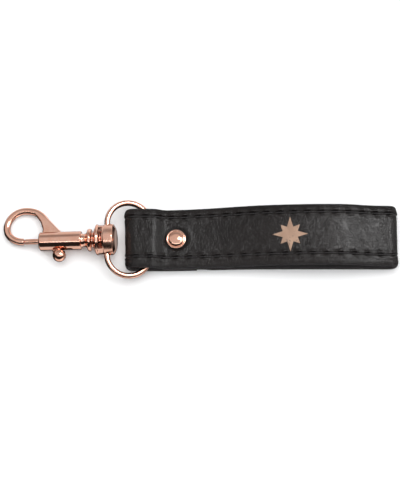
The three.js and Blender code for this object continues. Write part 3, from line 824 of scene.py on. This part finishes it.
line_to(POCKET_FOLD + HALF)
fold_over(POCKET_FOLD, True)
line_to(RIVET - STACK_HALF - RISE)
ease_to(RIVET - STACK_HALF + 0.8, HALF + 2 * LAYER, 0.38)
line_to(RIVET + STACK_HALF)
ease_to(LENGTH - 27.4, CREST - HALF, 0.42)
ease_to(LENGTH - END_FOLD - HALF, END_HEIGHT - HALF)
fold_over(END_FOLD, False)
line_to(TAIL_END + RISE * 1.4)
ease_to(TAIL_END + HALF, HALF + LAYER)
line_to(INNER_END)

dense = np.concatenate(run)
gaps = np.linalg.norm(np.diff(dense, axis=0), axis=1)
travelled = np.concatenate([[0], np.cumsum(gaps)])
STRIP = travelled[-1]
heading = np.gradient(dense, travelled, axis=0)
heading /= np.linalg.norm(heading, axis=1)[:, None]
pocket_apex = travelled[np.argmin(dense[:, 0])]
end_apex = travelled[np.argmax(dense[:, 0])]
print(f"strip {STRIP:.1f} mm, folds at {pocket_apex:.1f} and {end_apex:.1f} mm")


# %% Placing a point on the strip
FOLD_PINCH, END_PINCH = 0.045, 0.05  # how much narrower the strap is at its two folds
FOLD_SKEW = 0.3  # the pocket's fold isn't quite square to the strap
NARROW, WIDENING, DRIFT = 0.985, 0.03, 1.15  # the loop is wider, and lies to the far side


def strip_point(s, v, lift):
    """World points for places s along the strip, v across it and lift out of its middle."""
    s, v, lift = np.broadcast_arrays(np.asarray(s, float), v, lift)
    x = np.interp(s, travelled, dense[:, 0])
    z = np.interp(s, travelled, dense[:, 1])
    hx = np.interp(s, travelled, heading[:, 0])
    hz = np.interp(s, travelled, heading[:, 1])
    size = np.hypot(hx, hz)
    pinch = FOLD_PINCH * np.exp(-((s - pocket_apex) / 1.7) ** 2)
    pinch = pinch + END_PINCH * np.exp(-((s - end_apex) / 1.6) ** 2)
    skew = -FOLD_SKEW * (v / HALF_WIDTH) * np.exp(-((s - pocket_apex) / 7) ** 2)
    onward = np.clip((x - 12) / 46, 0, 1)
    onward = onward * onward * (3 - 2 * onward)
    wide = NARROW + WIDENING * onward - pinch
    x = x - hz / size * lift + skew
    z = z + hx / size * lift
    return np.stack([strap_low.x + x * MM, (v * wide + DRIFT * onward) * MM, z * MM], axis=-1)


def top_place(x):
    """How far along the strip the top run is at a place x from the pocket's fold."""
    top = (travelled > pocket_apex) & (travelled < end_apex)
    return float(np.interp(x, dense[top, 0], travelled[top]))


# %% [markdown]
# ## How the stitching shapes the leather
# Tight lock stitches pull the grain down. Each needle hole is a slanted dent, the leather puffs
# up beside it, a shallow channel joins the holes, and the margin outside the row swells. The
# rivet presses a ring round its cap. All of this is one height, used by the ply and the stamp.

# %% Relief of the grain side
PITCH = 5.6
END_MARGIN = 4.0
UPPER_ROW = HALF_WIDTH - 3.3
LOWER_ROW = -HALF_WIDTH + 4.6
rivet_s = top_place(RIVET)
first_hole = top_place(RIVET - 12.6) % PITCH
tail_s = TAIL_END - POCKET_FOLD


def bump(distance, width):
    return np.exp(-(distance / width) ** 2)


def stitch_relief(s, v, row, phase):
    turn = (s - first_hole - phase) / PITCH
    near = (turn - np.round(turn)) * PITCH
    away = v - row
    sewn = 1 / (1 + np.exp(-(s - END_MARGIN) * 4)) / (1 + np.exp((s - STRIP + END_MARGIN) * 4))
    slant_u = near * 0.88 + away * 0.47
    slant_v = -near * 0.47 + away * 0.88
    hole = -0.56 * bump(slant_u, 0.95) * bump(slant_v, 0.5)
    channel = -0.16 * bump(away, 0.34)
    puff = 0.26 * bump(near + np.sign(away) * 0.5, 1.25) * bump(np.abs(away) - 0.95, 0.5)
    roll = 0.05 * bump(np.abs(away) - 0.9, 0.55)
    return (hole + channel + puff + roll) * sewn


def relief(s, v):
    """Height of the grain side over its flat place, in millimetres."""
    s, v = np.broadcast_arrays(np.asarray(s, float), v)
    height = stitch_relief(s, v, UPPER_ROW, 0.0) + stitch_relief(s, v, LOWER_ROW, 1.9)
    edge = HALF_WIDTH - np.abs(v)
    height = height + 0.20 * bump(edge - 1.8, 1.0) - 0.10 * bump(edge, 0.7)
    drift = np.sin(s * 0.37 + v * 0.21) * np.sin(s * 0.13 - v * 0.45 + 1.3)
    height = height + 0.045 * drift + 0.02 * np.sin(s * 1.31 + 2.1 * np.sin(v * 0.5))
    fold = bump(s - pocket_apex, 5.5) + bump(s - end_apex, 5)
    height = height + 0.05 * fold * np.sin(s * 4.3 + 0.8 * np.sin(v * 0.9)) * np.cos(v * 0.31)
    rivet_gap = np.hypot(s - rivet_s, v)
    press = -0.36 * bump(rivet_gap - 4.2, 0.7) + 0.10 * bump(rivet_gap - 6.0, 1.1)
    height = height + press
    hidden = (s < tail_s + 2) | (s > STRIP - 22)
    return np.where(hidden & (height > 0), height * 0.15, height)


print(f"holes every {PITCH} mm, rivet at {rivet_s:.1f} mm along the strip")


# %% [markdown]
# ## The three plies
# Grain leather outside, a thin board in the middle and a lining. Each is a strip whose section
# has rounded edges, swept along the line. The outer ply takes the relief, and every ply carries
# the attributes that the leather finish reads: the painted edge, the worn folds and the pressed
# dents, whose darkening is painted shade.

# %% Plies
def section(low, high, rounded, columns):
    """One ply's cut, as (across, lift, relief share, paint) for each point round it."""
    corner = np.linspace(0, math.pi / 2, 6)
    top = [(v, high, 1.0, 0.0) for v in columns]
    right = [(HALF_WIDTH - rounded + rounded * math.sin(a),
              high - rounded + rounded * math.cos(a), math.cos(a), min(a * 1.5, 1)) for a in corner]
    small = min(0.12, (high - low) / 3)
    under = [(HALF_WIDTH, low + small, 0, 1), (HALF_WIDTH - small, low, 0, 0.6)]
    right += under
    left = [(-v, lift, share, paint) for v, lift, share, paint in right[::-1]]
    bottom = [(v, low, 0.0, 0.0) for v in np.linspace(HALF_WIDTH - 1, 1 - HALF_WIDTH, 9)]
    return np.array(top + right + bottom + left)


def stitch_columns():
    edge = HALF_WIDTH - 0.45
    steps = [edge * i / 40 for i in range(-40, 41)]
    for row in (UPPER_ROW, LOWER_ROW):
        steps += list(row + np.linspace(-1.9, 1.9, 20))
    steps = sorted(steps)
    kept = [steps[0]]
    for step in steps[1:]:
        if step - kept[-1] > 0.17:
            kept.append(step)
    return kept


def ply(name, low, high, rounded, columns, spacing, material, lined=False):
    cut = section(low, high, rounded, columns)
    stations = np.linspace(0, STRIP, int(STRIP / spacing) + 1)
    rings = []
    for s in stations:
        lift = cut[:, 1].copy()
        if not lined:
            lift = lift + relief(s, cut[:, 0]) * cut[:, 2]
        rings.append(strip_point(s, cut[:, 0], lift))
    points, faces = skin(rings)
    piece = new_piece(name, points, faces, material, 50)
    paint = piece.data.attributes.new("painted_edge", "FLOAT", "POINT")
    paint.data.foreach_set("value", np.tile(cut[:, 3], len(stations)).astype(np.float32))
    # Painted shade for the dents below the flat grain: the stitch holes, their channels and the
    # ring round the rivet are darkened by the finish and made duller.
    dent_shade = np.zeros((len(stations), len(cut)))
    if not lined:
        dent_shade = np.clip(-relief(stations[:, None], cut[None, :, 0]) / 0.34, 0, 1) ** 1.5
        dent_shade = dent_shade * cut[None, :, 2]
    pressed = piece.data.attributes.new("pressed", "FLOAT", "POINT")
    pressed.data.foreach_set("value", dent_shade.astype(np.float32).ravel())
    folds = bump(stations - pocket_apex, 3.5) + bump(stations - end_apex, 3.5)
    worn = piece.data.attributes.new("worn", "FLOAT", "POINT")
    worn.data.foreach_set("value", np.repeat(folds * 0.6, len(cut)).astype(np.float32))
    print(name, triangles(piece), "triangles")
    return piece


plain_columns = list(np.linspace(0.4 - HALF_WIDTH, HALF_WIDTH - 0.4, 24))
outer_ply = ply("strap_grain_leather", HALF - OUTER, HALF, 0.36, stitch_columns(), 0.44,
                grain_leather)
core_top = HALF - OUTER - GLUE
core_ply = ply("strap_core_board", core_top - CORE, core_top, 0.06, plain_columns, 0.8,
               core_board, lined=True)
lining_ply = ply("strap_lining", -HALF, core_top - CORE - GLUE, 0.1, plain_columns, 0.8,
                 lining_leather, lined=True)

# %% [markdown]
# ## Stitches
# A lock stitch is one thread that dives at every hole, so Geometry Nodes sweep a thread along
# each row and push it down in a pulse at each pitch. The same tree makes the needle threads on
# the grain side and the bobbin threads in the lining.

# %% Stitch tree
stitch_tree, node = node_group("stitches", {"Pitch": "Float", "First Hole": "Float",
                                            "Dive": "Float", "Thread": "Float",
                                            "Material": "Material"})
given = group_input(stitch_tree)
row_curve = node("GeometryNodeMeshToCurve", {}, {"Mesh": given("Geometry")})
fine_curve = node("GeometryNodeResampleCurve", {"mode": "LENGTH"},
                  {"Curve": row_curve, "Length": 0.30 * MM})
gone = node("GeometryNodeSplineParameter", out="Length")
turns = gone.math("DIVIDE", gone - given("First Hole"), given("Pitch"))
nearest = gone.math("ABSOLUTE", turns - turns.math("ROUND", turns))
pulse = 1 - nearest.node("ShaderNodeMapRange", {"interpolation_type": "SMOOTHSTEP"},
                         {"Value": nearest, "From Min": 0.03, "From Max": 0.19})
out_of_leather = node("GeometryNodeInputNamedAttribute", {"data_type": "FLOAT_VECTOR"},
                      {"Name": "out"})
sink = node("ShaderNodeVectorMath", {"operation": "SCALE"},
            {0: out_of_leather, "Scale": pulse * given("Dive") * -1.0})
dived = node("GeometryNodeSetPosition", {}, {"Geometry": fine_curve, "Offset": sink})
section_ring = node("GeometryNodeCurvePrimitiveCircle", {},
                    {"Resolution": 8, "Radius": given("Thread")})
sewn = node("GeometryNodeCurveToMesh", {}, {"Curve": dived, "Profile Curve": section_ring,
                                           "Fill Caps": True})
finish_tree(stitch_tree, sewn)
THREAD = 0.21


def thread_row(name, row, lift, phase, dive):
    """One thread on its row, lying at a height over the strip's middle."""
    places = np.arange(END_MARGIN, STRIP - END_MARGIN, 0.3)
    line = strip_point(places, row, lift)
    ahead = strip_point(places, row, lift + 1.0)
    out = (ahead - line) / MM
    mesh = bpy.data.meshes.new(name)
    mesh.from_pydata([tuple(p) for p in line], [(i, i + 1) for i in range(len(line) - 1)], [])
    attribute = mesh.attributes.new("out", "FLOAT_VECTOR", "POINT")
    attribute.data.foreach_set("vector", out.astype(np.float32).ravel())
    length = np.linalg.norm(np.diff(line, axis=0), axis=1)
    reached = np.concatenate([[0], np.cumsum(length)])
    hole = first_hole + phase
    while hole < END_MARGIN:
        hole += PITCH
    first = float(np.interp(hole, places, reached))
    return run_tree(name, stitch_tree, mesh, {
        "Pitch": PITCH * MM, "First Hole": first, "Dive": dive * MM, "Thread": THREAD * MM,
        "Material": waxed_thread})


threads = {}
for side, row, phase in (("upper", UPPER_ROW, 0.0), ("lower", LOWER_ROW, 1.9)):
    threads[f"needle_thread_{side}"] = thread_row(
        f"needle_stitches_{side}", row, HALF - 0.24, phase, 0.34)
    threads[f"bobbin_thread_{side}"] = thread_row(
        f"bobbin_stitches_{side}", row, -HALF + 0.2, phase, -0.2)
print("threads", {k: triangles(v) for k, v in threads.items()})

# %% [markdown]
# ## The foil star
# A hot-stamped ornament: an eight-ray star of rose foil, pressed into the grain. It is laid on
# the same relief as the leather, so it follows every swell of it.

# %% Foil star
FOIL_FROM_END, LONG_RAY, SHORT_RAY, HUB = 44.1, 7.2, 5.6, 3.3
foil_s = top_place(LENGTH - FOIL_FROM_END)
corners = []
for i in range(16):
    tip = LONG_RAY if i % 4 == 0 else SHORT_RAY
    reach_out = tip if i % 2 == 0 else HUB
    corners.append((reach_out * math.cos(i * math.pi / 8), reach_out * math.sin(i * math.pi / 8)))
outline = []
for start, end in zip(corners, corners[1:] + corners[:1]):
    outline += [np.array(start) * (1 - t) + np.array(end) * t for t in np.arange(0, 1, 1 / 14)]
outline = np.array(outline)
star_rings = []
for share, lift in ((0.004, 0.02), *((t, 0.02) for t in np.linspace(0.1, 1, 14)),
                    (1.0, 0.09), (0.985, 0.115),
                    *((t, 0.13) for t in np.linspace(0.94, 0.1, 14)), (0.004, 0.13)):
    s = foil_s + outline[:, 0] * share
    v = outline[:, 1] * share
    star_rings.append(strip_point(s, v, HALF + relief(s, v) + lift))
points, faces = skin(star_rings)
foil_star = new_piece("foil_star_stamp", points, faces, rose_foil, 45)
print("foil star", triangles(foil_star), "triangles")

# %% [markdown]
# ## The rivet
# A double-cap rivet: the front cap has a thin rim, a groove and a low dome with a flat crown, and
# the rear cap is a shallow dish sunk in the tail.

# %% Rivet caps
cap_low, cap_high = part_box("rivet_front_cap")
cap_middle = (cap_low + cap_high) / 2
CAP = (cap_high.x - cap_low.x) / MM / 2
cap_height = (cap_high.z - cap_low.z) / MM


def upright(profile, base, sides=72):
    """A part turned round a standing axis, from (height, radius) pairs over a base height."""
    around = np.linspace(0, 2 * math.pi, sides, endpoint=False)
    rings = [[(cap_middle.x + r * MM * math.cos(a), cap_middle.y + r * MM * math.sin(a),
               base + h * MM) for a in around] for h, r in profile]
    return skin(rings)


crown = [(cap_height * math.cos(a) ** 0.8, 3.25 * math.sin(a) ** 0.9)
         for a in np.linspace(1.25, 0.02, 22)]
front_profile = eased([(0, 3.3), (0, CAP - 0.1), (0.14, CAP), (0.36, CAP - 0.08),
                       (0.42, CAP - 0.32), (0.26, 3.42), (0.3, 3.24)], 0.08, 3) + crown
front_profile.append((cap_height, 0.02))
points, faces = upright([(0, 0.05), *front_profile], cap_low.z)
front_cap = new_piece("rivet_front_dome", points, faces, rose_gold, 40)
rear_low, rear_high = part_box("rivet_rear_cap")
rear_height = (rear_high.z - rear_low.z) / MM
rear_profile = eased([(0.08, 0.05), (0.08, 2.9), (0, 3.3), (0.05, CAP - 0.25),
                      (rear_height * 0.7, CAP), (rear_height, CAP - 0.1),
                      (rear_height, 0.05)], 0.1, 3)
points, faces = upright(rear_profile, rear_low.z)
rear_cap = new_piece("rivet_rear_dish", points, faces, rose_gold, 40)
print("caps", triangles(front_cap), triangles(rear_cap))

# %% [markdown]
# ## Bodies and finishes
# Each new piece rides on the body of the solid that it stands for. The socket and the pin inside
# the rivet keep their solids, with a better finish.

# %% Ride, replace and finish
pieces = [
    (outer_ply, "strap", "strap_outer_ply", "grain"),
    (core_ply, "strap", "strap_core_ply", "core"),
    (lining_ply, "strap", "strap_lining_ply", "lining"),
    (foil_star, "strap", "foil_star", "foil"),
    (front_cap, "strap", "rivet_front_cap", "rose_gold"),
    (rear_cap, "strap", "rivet_rear_cap", "rose_gold"),
    (oval_link, "link", "oval_link", "rose_gold"),
    (swivel_head, "head", "swivel_head", "rose_gold"),
    (body, "snap", "snap_body", "rose_gold"),
    (swivel_post, "snap", "swivel_post", "rose_gold"),
    (swivel_washer, "snap", "swivel_washer", "rose_gold"),
    (bolt_spring, "snap", "bolt_spring", "spring_steel"),
    (gate_bolt, "bolt", "gate_bolt", "rose_gold"),
    (thumb_knob, "bolt", "thumb_knob", "rose_gold"),
    *((piece, "strap", node_name, "thread") for node_name, piece in threads.items()),
]
for piece, body_name, node_name, slot_name in pieces:
    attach(piece, body_name)
    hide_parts(node_name)
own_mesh(bolt_spring)
for node_name in ("rivet_front_socket", "rivet_rear_pin"):
    frame["nodes"][node_name].material_slots[0].material = bare_steel
print("pieces", len(pieces), "triangles", sum(triangles(p[0]) for p in pieces))
